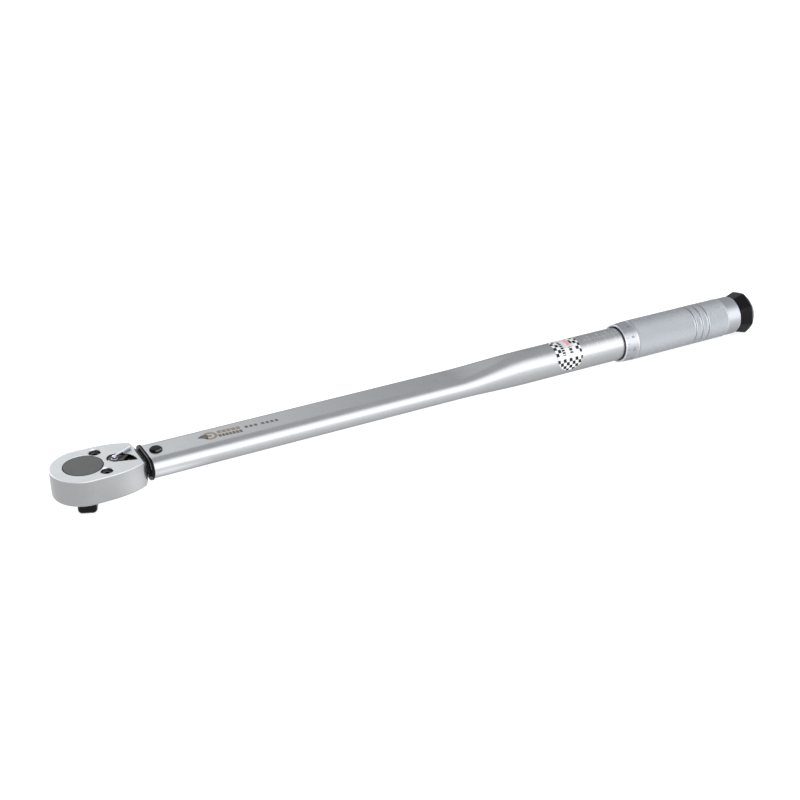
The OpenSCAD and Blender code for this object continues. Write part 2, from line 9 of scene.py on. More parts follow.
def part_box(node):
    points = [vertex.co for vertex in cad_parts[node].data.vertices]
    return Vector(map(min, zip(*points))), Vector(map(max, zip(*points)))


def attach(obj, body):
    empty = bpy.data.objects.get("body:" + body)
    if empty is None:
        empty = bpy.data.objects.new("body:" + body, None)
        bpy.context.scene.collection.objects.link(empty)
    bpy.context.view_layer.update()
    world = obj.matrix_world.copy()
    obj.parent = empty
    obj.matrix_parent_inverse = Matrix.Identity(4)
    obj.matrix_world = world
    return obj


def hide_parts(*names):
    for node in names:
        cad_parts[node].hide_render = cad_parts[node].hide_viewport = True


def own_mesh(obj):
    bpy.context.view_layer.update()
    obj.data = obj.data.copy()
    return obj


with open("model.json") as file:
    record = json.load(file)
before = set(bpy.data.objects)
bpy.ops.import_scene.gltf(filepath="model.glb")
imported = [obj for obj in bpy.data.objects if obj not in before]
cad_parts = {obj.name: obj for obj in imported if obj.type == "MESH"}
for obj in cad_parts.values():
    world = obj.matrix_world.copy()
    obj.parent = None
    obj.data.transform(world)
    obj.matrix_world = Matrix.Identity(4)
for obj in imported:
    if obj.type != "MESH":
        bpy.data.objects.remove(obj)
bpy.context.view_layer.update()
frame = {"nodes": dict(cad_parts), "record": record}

# The wrench's meshes are built in millimetres about the tube's axis, and deliver() brings them to metres.
MM = 0.001
tube_low, tube_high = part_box("outer_tube")
AXIS_Z = (tube_low.z + tube_high.z) / 2


def box_mm(node):
    """The lowest and highest corner of a CAD node in millimetres about the tube's axis."""
    return [Vector((c.x, c.y, c.z - AXIS_Z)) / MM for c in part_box(node)]


TUBE_LOW, TUBE_HIGH = box_mm("outer_tube")
HEAD_LOW, HEAD_HIGH = box_mm("head_body")
GRIP_LOW, GRIP_HIGH = box_mm("grip_sleeve")
KNOB_LOW, KNOB_HIGH = box_mm("lock_knob")
DRIVE_LOW, DRIVE_HIGH = box_mm("drive_gear")
LABEL_LOW, LABEL_HIGH = box_mm("round_label")
PIN_LOW, PIN_HIGH = box_mm("pivot_pin")
COLLAR_LOW, COLLAR_HIGH = box_mm("dust_collar")

# Tube
TUBE_R = TUBE_HIGH.z
TUBE_WALL = 2.4
FLAT_HALF_W = TUBE_HIGH.y
FLAT_HALF_H = 7.6
FLAT_END_X = 278
ROUND_START_X = 345
PIVOT_X = (PIN_LOW.x + PIN_HIGH.x) / 2
PIVOT_R = 4

# Head
HEAD_R = -HEAD_LOW.x
HEAD_HALF = HEAD_HIGH.z
TAIL_X = 36.5
TAIL_W = 15.2
TAIL_POWER = 3.2
SIDE_STEPS = 24
BACK_X = 38.3
BACK_BEVEL = 2.3
SHANK_HALF_H = 5.1
SPINDLE_X = 21.2
SCREW_X = 11.8
SCREW_Y = 13.6
BAY_TOP = 4.5
BAY_FLOOR = -6.25
POCKET_FLOOR = HEAD_HALF - 2.5
LEVER_TURN = 18        # degrees from straight back
PLUNGER_Z = -1
PLUNGER_FOOT = -1.5

# Drive
DISC_R = 13
MOUTH_R = DISC_R + 0.4
GEAR_R = 14.8
TOOTH_COUNT = 36
TOOTH_DEPTH = 1.1
SQUARE_HALF = 6.35
SQUARE_TURN = -22      # degrees
DETENT_Z = -18
DETENT_FOOT = -4.1

# Mechanism
ROD_THRUST = 1.4       # room left for the push rod as the head clicks over

# Grip
KNURL_START_X = 444.3
KNURL_END_X = 537
KNURL_PITCH = 1.8
KNURL_DEPTH = 0.34
BAND_END_X = GRIP_HIGH.x
GRIP_R = GRIP_HIGH.z
RING_FRONT_R = 15.3
BAND_R = 15.65
SET_SCREW_X = 541.5
GROOVES_X = [502.5 + 6.55 * i for i in range(3)]
KNOB_TURN = 77.5       # degrees
KNOB_FLATS = 8


# ---------------------------------------------------------------- mesh tools

def loft(bm, rings, wrap=False):
    """Joins rings of points into a closed skin. A one-point ring is a tip, and wrap joins last to first."""
    loops = [[bm.verts.new(p) for p in ring] for ring in rings]
    pairs = list(zip(loops, loops[1:]))
    if wrap:
        pairs.append((loops[-1], loops[0]))
    for a, b in pairs:
        for i in range(max(len(a), len(b))):
            corners = [a[i % len(a)], a[(i + 1) % len(a)], b[(i + 1) % len(b)], b[i % len(b)]]
            bm.faces.new(list(dict.fromkeys(corners)))
    if not wrap:
        for loop in (loops[0], loops[-1]):
            if len(loop) > 2:
                bm.faces.new(loop)


def polar(r, degrees, at=(0, 0)):
    """The point at a distance and a direction from a place."""
    a = math.radians(degrees)
    return at[0] + r * math.cos(a), at[1] + r * math.sin(a)


def arc(r, start, span, steps, at=(0, 0)):
    """Points along an arc, with its start and span in degrees."""
    return [polar(r, start + span * i / steps, at) for i in range(steps + 1)]


def circle(r, at=(0, 0), count=72, start=0):
    """Points round a circle, the first in the direction start."""
    return arc(r, start, 360, count, at)[:-1]


def turned(profile, axis="x", at=(0, 0), segments=96):
    """A shape turned about the tube's axis, or an upright one at a place. profile is (along, radius)."""
    bm = bmesh.new()
    rings = []
    for along, r in profile:
        ring = circle(r, count=segments) if r > 0 else [(0, 0)]
        rings.append([(along, u, v) if axis == "x" else (at[0] + u, at[1] + v, along) for u, v in ring])
    loft(bm, rings)
    return bm


def rounded(corners, steps=5, closed=True, start=None):
    """An outline whose corners are arcs: corners is (a, b, arc's radius). start is a point it comes from."""
    out = []
    for i, (a, b, r) in enumerate(corners):
        here = Vector((a, b))
        loose_end = not closed and (i == len(corners) - 1 or (i == 0 and start is None))
        if r == 0 or loose_end:
            out.append((a, b))
            continue
        before = Vector(start if i == 0 and start is not None else corners[i - 1][:2])
        after = Vector(corners[(i + 1) % len(corners)][:2])
        u = (before - here).normalized()
        v = (after - here).normalized()
        half = u.angle(v) / 2
        centre = here + (u + v).normalized() * (r / math.sin(half))
        first = here + u * (r / math.tan(half)) - centre
        last = here + v * (r / math.tan(half)) - centre
        turn = first.angle(last)
        for k in range(steps + 1):
            t = k / steps
            spoke = (first * math.sin((1 - t) * turn) + last * math.sin(t * turn)) / math.sin(turn)
            out.append(tuple(centre + spoke))
    return out


def drawn_in(outline, distance):
    """An anticlockwise outline moved inwards by a distance."""
    out = []
    for i in range(len(outline)):
        before, here, after = (Vector(outline[k % len(outline)]) for k in (i - 1, i, i + 1))
        n1 = Vector((before.y - here.y, here.x - before.x)).normalized()
        n2 = Vector((here.y - after.y, after.x - here.x)).normalized()
        miter = (n1 + n2) / max(0.3, 1 + n1.dot(n2))
        out.append(tuple(here + miter * distance))
    return out


def rims(low, high, low_r, high_r, steps=4):
    """Levels (height, distance drawn in) for a solid between two heights with its rims rounded."""
    quarter = [math.pi / 2 * k / steps for k in range(steps + 1)]
    bottom = [(low + low_r * (1 - math.cos(q)), low_r * (1 - math.sin(q))) for q in quarter]
    top = [(high - high_r * (1 - math.cos(q)), high_r * (1 - math.sin(q))) for q in quarter]
    return bottom + top[::-1]


def stack(outline, levels):
    """A solid drawn up from an outline through levels of (height, distance drawn in)."""
    bm = bmesh.new()
    loft(bm, [[(x, y, z) for x, y in drawn_in(outline, inset)] for z, inset in levels])
    return bm


def merged(*meshes):
    """Several separate meshes as one."""
    work = bpy.data.meshes.new("work")
    bm = bmesh.new()
    for part in meshes:
        part.to_mesh(work)
        part.free()
        bm.from_mesh(work)
    bpy.data.meshes.remove(work)
    return bm


def shift(x, y, z):
    return Matrix.Translation((x, y, z))


def spin(degrees, axis):
    return Matrix.Rotation(math.radians(degrees), 4, axis)


def moved(bm, matrix):
    bm.transform(matrix)
    return bm


# From upright to the detent's bore and the plunger's, which both lie level
DETENT_WAY = spin(SQUARE_TURN, "Z") @ spin(-90, "X")
PLUNGER_WAY = spin(LEVER_TURN, "Z") @ spin(-90, "Y")


def combined(bm, tool, operation):
    """bm with tool cut out of it or joined to it."""
    bmesh.ops.recalc_face_normals(bm, faces=bm.faces)
    bmesh.ops.recalc_face_normals(tool, faces=tool.faces)
    objects = []
    for part in (bm, tool):
        mesh = bpy.data.meshes.new("work")
        part.to_mesh(mesh)
        part.free()
        objects.append(bpy.data.objects.new("work", mesh))
        bpy.context.scene.collection.objects.link(objects[-1])
    modifier = objects[0].modifiers.new("combine", "BOOLEAN")
    modifier.object = objects[1]
    modifier.operation = operation
    modifier.solver = "EXACT"
    bpy.context.view_layer.update()
    evaluated = objects[0].evaluated_get(bpy.context.evaluated_depsgraph_get())
    out = bmesh.new()
    out.from_mesh(evaluated.to_mesh())
    for o in objects:
        bpy.data.meshes.remove(o.data)
    return out


def cut(bm, *tools):
    for tool in tools:
        bm = combined(bm, tool, "DIFFERENCE")
    return bm


def joined(bm, *tools):
    for tool in tools:
        bm = combined(bm, tool, "UNION")
    return bm


def paint(bm, index, test):
    """Gives the faces whose middle passes the test another of the piece's materials."""
    for face in bm.faces:
        if test(face.calc_center_median()):
            face.material_index = index


def deliver(name, bm, body, materials, replaces=(), crease=32):
    """Makes the finished piece, in metres and at its place, riding on its body."""
    bmesh.ops.remove_doubles(bm, verts=bm.verts, dist=1e-4)
    bmesh.ops.dissolve_degenerate(bm, edges=bm.edges, dist=1e-4)
    bmesh.ops.recalc_face_normals(bm, faces=bm.faces)
    bm.transform(Matrix.Translation((0, 0, AXIS_Z)) @ Matrix.Scale(MM, 4))
    mesh = bpy.data.meshes.new(name)
    bm.to_mesh(mesh)
    bm.free()
    mesh.polygons.foreach_set("use_smooth", [True] * len(mesh.polygons))
    mesh.set_sharp_from_angle(angle=math.radians(crease))
    for material in materials:
        mesh.materials.append(material)
    piece = bpy.data.objects.new(name, mesh)
    bpy.context.scene.collection.objects.link(piece)
    weighted = piece.modifiers.new("weighted", "WEIGHTED_NORMAL")
    weighted.keep_sharp = True
    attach(piece, body)
    if replaces:
        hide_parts(*replaces)
    return piece


# ---------------------------------------------------------------- materials

def add_node(tree, kind, inputs=None, **settings):
    """A new shader node. Each input is given a value, or the socket that feeds it."""
    made = tree.nodes.new("ShaderNode" + kind)
    for name, value in settings.items():
        setattr(made, name, value)
    for key, value in (inputs or {}).items():
        if isinstance(value, bpy.types.NodeSocket):
            tree.links.new(value, made.inputs[key])
        else:
            made.inputs[key].default_value = value
    return made


def ramp(tree, socket, low, high, start, end, curve="LINEAR"):
    """Turns a socket's values from low to high into values from start to end."""
    inputs = {"Value": socket, "From Min": low, "From Max": high, "To Min": start, "To Max": end}
    return add_node(tree, "MapRange", inputs, interpolation_type=curve).outputs["Result"]


def surface(name, colour, metallic, roughness, grain, stretch=(1, 1, 1), bump=0.1, bump_mm=0.02, tint=0.04,
            spread=0.08, ior=1.5, edge=1.0, hollow_shade=1.0):
    """A procedural finish: a fine grain in bump and roughness, over slow drifts of roughness and colour.
    grain is the grain's size in mm, and stretch draws it out along an axis. edge dims what the surface
    mirrors at a glancing angle, and hollow_shade dims the colour in the mesh's low points as painted shade."""
    material = bpy.data.materials.new(name)
    material.use_nodes = True
    tree = material.node_tree
    place = add_node(tree, "TexCoord").outputs["Object"]
    drawn = add_node(tree, "Mapping", {"Vector": place, "Scale": [1 / s for s in stretch]}).outputs["Vector"]
    fine = add_node(tree, "TexNoise",
                    {"Vector": drawn, "Scale": 1 / (grain * MM), "Detail": 3}).outputs["Fac"]
    slow = add_node(tree, "TexNoise", {"Vector": place, "Scale": 90, "Detail": 4}).outputs["Fac"]

    both = add_node(tree, "Mix", {"Factor": 0.45, "A": fine, "B": slow}).outputs["Result"]
    rough = ramp(tree, both, 0.3, 0.7, max(0.03, roughness - spread), roughness + spread)
    dark, light = ([min(1, c * share) for c in colour] + [1] for share in (1 - tint, 1 + tint))
    tone = add_node(tree, "Mix", {"Factor": slow, "A": dark, "B": light}, data_type="RGBA").outputs["Result"]
    # Painted shade: the colour is dimmed where the mesh is hollow, as in the knurl's valleys.
    if hollow_shade < 1:
        shape = add_node(tree, "NewGeometry").outputs["Pointiness"]
        low = ramp(tree, shape, 0.47, 0.53, hollow_shade, 1)
        tone = add_node(tree, "VectorMath", {0: tone, "Scale": low}, operation="SCALE").outputs["Vector"]
    relief = add_node(tree, "Bump", {"Strength": bump, "Distance": bump_mm * MM, "Height": fine})

    shader = tree.nodes["Principled BSDF"]
    tree.links.new(tone, shader.inputs["Base Color"])
    tree.links.new(rough, shader.inputs["Roughness"])
    tree.links.new(relief.outputs["Normal"], shader.inputs["Normal"])
    shader.inputs["Metallic"].default_value = metallic
    shader.inputs["IOR"].default_value = ior
    shader.inputs["Specular Tint"].default_value = (edge, edge, edge, 1)
    return material


HEAD_CHROME = surface("head_chrome", (0.4, 0.412, 0.415), 1, 0.34, 0.16, bump=0.35, bump_mm=0.02)
# A darker copy of the head's chrome, used as painted shade on the side walls.
HEAD_SIDE_PAINTED_SHADE = surface("head_side_painted_shade", (0.305, 0.31, 0.318), 1, 0.32, 0.16, bump=0.35, bump_mm=0.02)
# A light chrome used as painted highlight on rounded rims and chamfers.
PAINTED_HIGHLIGHT = surface("painted_highlight", (0.64, 0.65, 0.68), 1, 0.25, 0.16, bump=0.1, bump_mm=0.01)
TUBE_CHROME = surface("tube_chrome", (0.37, 0.376, 0.388), 1, 0.27, 0.12, stretch=(5, 1, 1), bump=0.25,
                      bump_mm=0.012, edge=0.55)
GRIP_CHROME = surface("grip_chrome", (0.35, 0.36, 0.382), 1, 0.36, 0.1, bump=0.2, bump_mm=0.015, edge=0.55)
# The knurl's chrome, with painted shade dimming its valleys.
KNURL_CHROME = surface("knurl_chrome", (0.455, 0.474, 0.502), 1, 0.5, 0.1, bump=0.2, bump_mm=0.015, edge=0.45,
                       hollow_shade=0.4)
PLATE_STEEL = surface("plate_steel", (0.42, 0.43, 0.44), 1, 0.3, 0.1, stretch=(6, 1, 1), bump=0.2)
DARK_STEEL = surface("dark_steel", (0.075, 0.076, 0.075), 1, 0.4, 0.1, bump=0.3, bump_mm=0.015)
# Black oxide, also used as painted shade for the dark ring round the drive disc.
OXIDE_AND_PAINTED_SHADE = surface("oxide_and_painted_shade", (0.014, 0.013, 0.014), 1, 0.35, 0.2, bump=0.3)
BLACK_STEEL = surface("black_steel", (0.004, 0.004, 0.005), 0, 0.2, 0.2, bump=0.2, ior=1.12)
POLISHED_STEEL = surface("polished_steel", (0.5, 0.5, 0.56), 1, 0.18, 0.2, bump=0.08)
PADDLE_STEEL = surface("paddle_steel", (0.045, 0.036, 0.042), 1, 0.3, 0.5, bump=0.25)
# A dark olive steel used as painted shade inside the lever's pocket.
PAINTED_POCKET_SHADE = surface("painted_pocket_shade", (0.085, 0.08, 0.06), 1, 0.22, 0.5, bump=0.25)
SPRING_STEEL = surface("spring_steel", (0.22, 0.23, 0.24), 1, 0.3, 0.12, bump=0.2)
COLLAR_RUBBER = surface("collar_rubber", (0.006, 0.006, 0.006), 0, 0.26, 0.12, bump=0.3, ior=1.13)
# A dark grey used as a painted glint on the pin's bevel and on the collar's ridge.
PAINTED_GLINT = surface("painted_glint", (0.07, 0.07, 0.08), 0, 0.3, 0.12, bump=0.3, ior=1.4)
BRONZE = surface("bronze", (0.5, 0.33, 0.13), 1, 0.3, 0.15, stretch=(1, 4, 4), bump=0.2)
NYLON = surface("nylon", (0.76, 0.74, 0.68), 0, 0.45, 0.2, bump=0.15)
KNOB_PLASTIC = surface("knob_plastic", (0.006, 0.006, 0.007), 0, 0.12, 0.5, bump=0.12, bump_mm=0.03,
                       spread=0.04, ior=1.16)
KNOB_EDGE = surface("knob_edge", (0.008, 0.008, 0.009), 0, 0.1, 0.5, bump_mm=0.03, spread=0.04, ior=1.75)
LABEL_FILM = surface("label_film", (0.46, 0.47, 0.48), 0, 0.38, 0.3, bump=0.08, tint=0.02)
LABEL_WHITE = surface("label_white", (0.6, 0.6, 0.6), 0, 0.45, 0.3, bump=0.08, tint=0.02, ior=1.3)
LABEL_BLACK = surface("label_black", (0.008, 0.008, 0.01), 0, 0.42, 0.3, bump=0.08, ior=1.25)
LABEL_PINK = surface("label_pink", (0.62, 0.22, 0.24), 0, 0.4, 0.3, bump=0.08)
ETCH_BROWN = surface("etch_brown", (0.2, 0.15, 0.105), 0.2, 0.5, 0.2, bump=0.3, tint=0.3)
ETCH_DARK = surface("etch_dark", (0.075, 0.062, 0.05), 0.2, 0.5, 0.2, bump=0.3, tint=0.3)
ETCH_GREY = surface("etch_grey", (0.13, 0.135, 0.145), 0.6, 0.5, 0.2, bump=0.3, tint=0.2)
ETCH_PALE = surface("etch_pale", (0.5, 0.51, 0.52), 0.5, 0.5, 0.1, bump=0.2)

SLOT_MATERIALS = {
    "head_chrome": HEAD_CHROME, "tube_chrome": TUBE_CHROME, "grip_chrome": GRIP_CHROME,
    "plate_steel": PLATE_STEEL, "dark_steel": DARK_STEEL, "black_steel": BLACK_STEEL,
    "polished_steel": POLISHED_STEEL, "spring_steel": SPRING_STEEL, "collar_rubber": COLLAR_RUBBER,
    "bronze": BRONZE, "nylon": NYLON, "knob_plastic": KNOB_PLASTIC, "label_film": LABEL_FILM,
}
for part in frame["record"]["subparts"]:
    node = frame["nodes"][part["node"]]
    node.data.materials.clear()
    node.data.materials.append(SLOT_MATERIALS[part["material_slot"]])


# ---------------------------------------------------------------- head

def side_w(x):
    """Half the head's width at a distance behind the drive axis."""
    return HEAD_R - (HEAD_R - TAIL_W) * (x / TAIL_X) ** TAIL_POWER


def near_side(c, band):
    """Whether a place lies within a band along the head's side wall."""
    if c.x < 0:
        return math.hypot(c.x, c.y) > HEAD_R - band
    return c.x < BACK_X and abs(c.y) > side_w(min(c.x, TAIL_X)) - band


def head_outline(inset, end_x):
    """The head's plan, drawn in by inset: a half circle in front, and sides that narrow back to end_x."""
    front = [(-(HEAD_R - inset) * math.sin(a), (HEAD_R - inset) * math.cos(a))
             for a in (math.pi * i / 60 for i in range(61))]
    xs = [end_x * i / SIDE_STEPS for i in range(1, SIDE_STEPS + 1)]
    return front + [(x, inset - side_w(x)) for x in xs] + [(x, side_w(x) - inset) for x in reversed(xs)]


def bevel_back(bm, side):
    """Takes the bevel off the head's back, at the top (side 1) or the bottom (side -1)."""
    cut_at = bmesh.ops.bisect_plane(
        bm, geom=bm.verts[:] + bm.edges[:] + bm.faces[:], plane_co=(BACK_X - BACK_BEVEL, 0, side * HEAD_HALF),
        plane_no=(1, 0, side), clear_outer=True, dist=1e-5)["geom_cut"]
    bmesh.ops.edgeloop_fill(bm, edges=[e for e in cut_at if isinstance(e, bmesh.types.BMEdge)])


def head_blank():
    """The pear-shaped head with its back bevelled, and the shank that reaches into the tube."""
    outline = head_outline(0, TAIL_X)
    tail = len(outline) - SIDE_STEPS
    outline[tail:tail] = [(BACK_X, 2 - TAIL_W), (BACK_X, TAIL_W - 2)]
    bm = stack(outline, rims(-HEAD_HALF, HEAD_HALF, 1.3, 0.6, 5))
    for side in (1, -1):
        bevel_back(bm, side)
    wide, narrow = 7.5, 5.5
    root_x, step_x, end_x = BACK_X - 3, PIVOT_X + 8, 76.05
    shank = rounded([(root_x, -wide, 0), (step_x, -wide, 2), (end_x, -narrow, 0.8),
                     (end_x, narrow, 0.8), (step_x, wide, 2), (root_x, wide, 0)])
    return joined(bm, stack(shank, rims(-SHANK_HALF_H, SHANK_HALF_H, 0.4, 0.4, 3)))


def pocket_outline():
    """A round end about the lever's spindle that opens into a fin."""
    round_r, fin_r, swell = 5.2, 14.3, 0.75
    fin = arc(fin_r, -4.2, 86, 40, (SPINDLE_X - 1.4, -8.2))
    start, span, steps = 96, 157.3, 36
    round_end = [polar(round_r + swell * max(0, 1 - i / 12) ** 2, start + span * i / steps, (SPINDLE_X, 0))
                 for i in range(steps + 1)]
    return fin + round_end


def screw_place(side):
    return SCREW_X, SCREW_Y * side


def counterbore(side):
    """A cover screw's stepped hole, from the gear bay up to a chamfered mouth."""
    hole_r, seat, bore_r, chamfer, past = 2.1, 5.6, 3.95, 0.6, 0.6
    return turned([(BAY_FLOOR - 1, 0), (BAY_FLOOR - 1, hole_r), (seat, hole_r), (seat, bore_r),
                   (HEAD_HALF - chamfer, bore_r), (HEAD_HALF + past, bore_r + chamfer + past),
                   (HEAD_HALF + past, 0)], "z", screw_place(side), 48)


def pivot_hole(reach):
    return stack(circle(PIVOT_R + 0.05, (PIVOT_X, 0), 48), [(-reach, 0), (reach, 0)])


def make_head():
    below, past = BAY_FLOOR - 1, 0.5
    bay_r, pawl_bay_r, chamfer = 15, 12.9, 0.2
    cover_recess = stack(head_outline(3, 31), [(-HEAD_HALF - 1, -0.4), (-HEAD_HALF + 0.3, 0), (BAY_FLOOR, 0)])
    bay = turned([(below, 0), (below, bay_r), (BAY_TOP, bay_r), (BAY_TOP, 0)], "z")
    pawl_bay = stack(arc(pawl_bay_r, 52.8, 254.4, 40, (SPINDLE_X, 0)), [(below, 0), (BAY_TOP, 0)])
    mouth = turned([(BAY_TOP - 1, 0), (BAY_TOP - 1, MOUTH_R), (HEAD_HALF - chamfer, MOUTH_R),
                    (HEAD_HALF + past, MOUTH_R + past + chamfer), (HEAD_HALF + past, 0)], "z")
    pocket = stack(pocket_outline(), [(POCKET_FLOOR, 0), (HEAD_HALF - 0.3, 0), (HEAD_HALF + past, -0.7)])
    spindle_hole = stack(circle(3.05, (SPINDLE_X, 0), 48), [(BAY_TOP - 1, 0), (POCKET_FLOOR + 1, 0)])
    bm = cut(head_blank(), cover_recess, bay, pawl_bay, mouth, pocket, spindle_hole, pivot_hole(8),
             counterbore(1), counterbore(-1))

    top, skin = HEAD_HALF, 0.01
    # Painted shade: the pocket's floor and walls are darkened.
    paint(bm, 1, lambda c: POCKET_FLOOR - 0.05 < c.z < top - 0.4 and SPINDLE_X - 5.5 < c.x < 35
          and abs(c.y) < 10)
    # Painted shade: the side walls get the darker copy of the chrome.
    paint(bm, 2, lambda c: abs(c.z) < top - 0.6 and near_side(c, 0.6))
    # Painted highlight on the top rim's rounding and on the mouth's chamfer.
    paint(bm, 3, lambda c: top - 0.25 < c.z < top - skin
          and (near_side(c, 1) or math.hypot(c.x, c.y) < MOUTH_R + 0.3))
    # Painted shade: the mouth's wall round the disc is darkened so the gap shows as a dark ring.
    paint(bm, 4, lambda c: BAY_TOP - 0.9 < c.z < top - 0.25 and DISC_R < math.hypot(c.x, c.y) < MOUTH_R + 0.1)
    # Painted highlight on each counterbore's chamfer.
    for x, y in (screw_place(1), screw_place(-1)):
        paint(bm, 3, lambda c, x=x, y=y: top - 0.59 < c.z < top - skin and math.hypot(c.x - x, c.y - y) < 5.2)
    return deliver("head_shell", bm, "head",
                   [HEAD_CHROME, PAINTED_POCKET_SHADE, HEAD_SIDE_PAINTED_SHADE, PAINTED_HIGHLIGHT, OXIDE_AND_PAINTED_SHADE], ["head_body"])


def make_cover_screws():
    """Two socket screws at the bottom of their counterbores."""
    low, seat, top = -HEAD_HALF + 0.3, 5.65, 7.45
    shaft_r, head_r, socket_r = 2, 3.6, 1.75
    profile = [(low, 0), (low, shaft_r - 0.3), (low + 0.4, shaft_r), (seat, shaft_r), (seat, head_r)]
    profile += rounded([(seat, head_r, 0), (top, head_r, 0.45), (top, 0, 0)], closed=False)[1:]
    screws = []
    for side in (1, -1):
        at = screw_place(side)
        socket = stack(circle(socket_r, at, 6, 20 * side),
                       [(top - 1.4, 0), (top - 0.25, 0), (top + 0.3, -0.5)])
        screws.append(cut(turned(profile, "z", at, 48), socket))
    return deliver("socket_screws", merged(*screws), "head", [PADDLE_STEEL], ["cover_screws"])


def gear_outline():
    """Four points a tooth, with a flat at each tip and root."""
    root_r = GEAR_R - TOOTH_DEPTH
    return [polar(r, 360 / TOOTH_COUNT * (i + share)) for i in range(TOOTH_COUNT)
            for share, r in ((-0.42, root_r), (-0.08, GEAR_R), (0.08, GEAR_R), (0.42, root_r))]


def make_drive():
    """The ratchet gear with its disc above, and the boss and square below, bored for the detent."""
    tip, top = DRIVE_LOW.z, DRIVE_HIGH.z
    gear = stack(gear_outline(), [(BAY_FLOOR + 0.05, 0.25), (BAY_FLOOR + 0.3, 0), (BAY_TOP - 0.35, 0),
                                  (BAY_TOP - 0.1, 0.25)])
    disc_low = BAY_TOP - 1.1
    disc = turned([(disc_low, 0), (disc_low, DISC_R)]
                  + rounded([(BAY_TOP, DISC_R, 0), (top, DISC_R, 0.2), (top, 0, 0)], closed=False),
                  "z", segments=120)
    boss_low, boss_high, boss_r = -HEAD_HALF + 0.05, BAY_FLOOR + 1, 11.5
    boss = turned(rounded([(boss_low, 0, 0), (boss_low, boss_r, 0.4), (boss_high, boss_r, 0),
                           (boss_high, 0, 0)], closed=False), "z")
    half, corner_r = SQUARE_HALF, 2.8
    outline = rounded([(half, half, corner_r), (-half, half, corner_r), (-half, -half, corner_r),
                       (half, -half, corner_r)], 8)
    nose = [(0, 1.85), (0.12, 1.55), (0.45, 1.1), (1.3, 0.4), (1.75, 0.12), (2.2, 0)]
    square = stack(outline, [(tip + rise, inset) for rise, inset in nose]
                   + [(-HEAD_HALF - 0.6, 0), (-HEAD_HALF + 1, 0)])
    hole = stack(circle(2.45, count=40), [(DETENT_FOOT - 0.1, 0), (half - 0.35, 0), (half + 1, -1.35)])
    bm = cut(joined(gear, disc, boss, moved(square, spin(SQUARE_TURN, "Z"))),
             moved(hole, shift(0, 0, DETENT_Z) @ DETENT_WAY))
    # The square is black oxide, made darker still as painted shade under the head. The disc's rim is painted
    # shade for the gap's dark ring.
    paint(bm, 1, lambda c: c.z < -HEAD_HALF or (c.z > BAY_TOP and math.hypot(c.x, c.y) > DISC_R - 0.12))
    return deliver("drive_gear_shell", bm, "drive", [DARK_STEEL, OXIDE_AND_PAINTED_SHADE], ["drive_gear"])


def lever_bar(low, high):
    """The finger bar, which thickens a little towards its round end."""
    reach, end_r, half = 15.0, 0.95, 0.72
    neck_x = reach - end_r - 1
    round_end = arc(end_r, -110, 220, 16, (reach - end_r, 0))
    plan = [(0, -half), (neck_x, -half)] + round_end + [(neck_x, half), (0, half)]
    bar = stack(plan, rims(low, high, 0.2, 0.4))
    for vertex in bar.verts:
        if vertex.co.z > HEAD_HALF + 1:
            vertex.co.z += 0.2 * max(0.0, min(1.0, (vertex.co.x - 6) / 7))
    return moved(bar, spin(9, "Z"))


def make_lever():
    """The spindle and hub with its paddle in the pocket, and the finger bar above them."""
    hub_top, bar_low, bar_high = 8.7, HEAD_HALF + 0.5, HEAD_HALF + 1.75
    hub_r, hub_start = 4.7, 22
    paddle = arc(hub_r, hub_start, 272, 36)
    paddle += rounded([(*polar(6.2, -52), 0.5), (*polar(9.5, -15), 0.6), (*polar(8.2, -2), 1.5),
                       (*polar(hub_r, hub_start), 0)], closed=False, start=paddle[-1])
    hub = stack(paddle, rims(POCKET_FLOOR + 0.05, hub_top, 0.2, 0.55))
    foot, spindle_r, groove_r = -7.7, 3, 2.5
    spindle_top, groove_low, groove_high = POCKET_FLOOR + 0.5, BAY_TOP - 0.85, BAY_TOP - 0.15
    spindle = turned([(foot, 0), (foot, spindle_r - 0.4), (foot + 0.4, spindle_r), (groove_low, spindle_r),
                      (groove_low, groove_r), (groove_high, groove_r), (groove_high, spindle_r),
                      (spindle_top, spindle_r), (spindle_top, 0)], "z", segments=48)
    neck = turned([(hub_top - 0.6, 0), (hub_top - 0.6, 2.3), (hub_top, 2.2), (hub_top + 0.3, 1.75)]
                  + rounded([(hub_top + 0.3, 1.75, 0), (bar_high - 0.3, 1.6, 0.4), (bar_high, 0, 0)],
                            closed=False)[1:], "z", segments=48)
    bore = stack(circle(1.25, count=32), [(PLUNGER_FOOT - 0.1, 0), (4.4, 0)])
    bm = cut(joined(hub, spindle, neck, lever_bar(bar_low, bar_high)),
             moved(bore, shift(0, 0, PLUNGER_Z) @ spin(-90, "Y")))
    # Painted shade: the hub's sides and the spindle, down in the pocket, are darkened.
    paint(bm, 1, lambda c: c.z < hub_top - 0.02)
    paint(bm, 2, lambda c: abs(c.z - hub_top) < 0.04)
    # Painted highlight on the hub's left rim and on the paddle's end edge.
    paint(bm, 3, lambda c: hub_top - 0.6 < c.z < hub_top - 0.02
          and (c.x > 6.6 or (c.x < -2.8 and -3.8 < c.y < 1.2)))
    moved(bm, shift(SPINDLE_X, 0, 0) @ spin(LEVER_TURN, "Z"))
    return deliver("lever_shell", bm, "lever",
                   [POLISHED_STEEL, PAINTED_POCKET_SHADE, PADDLE_STEEL, PAINTED_HIGHLIGHT], ["reversing_lever"])


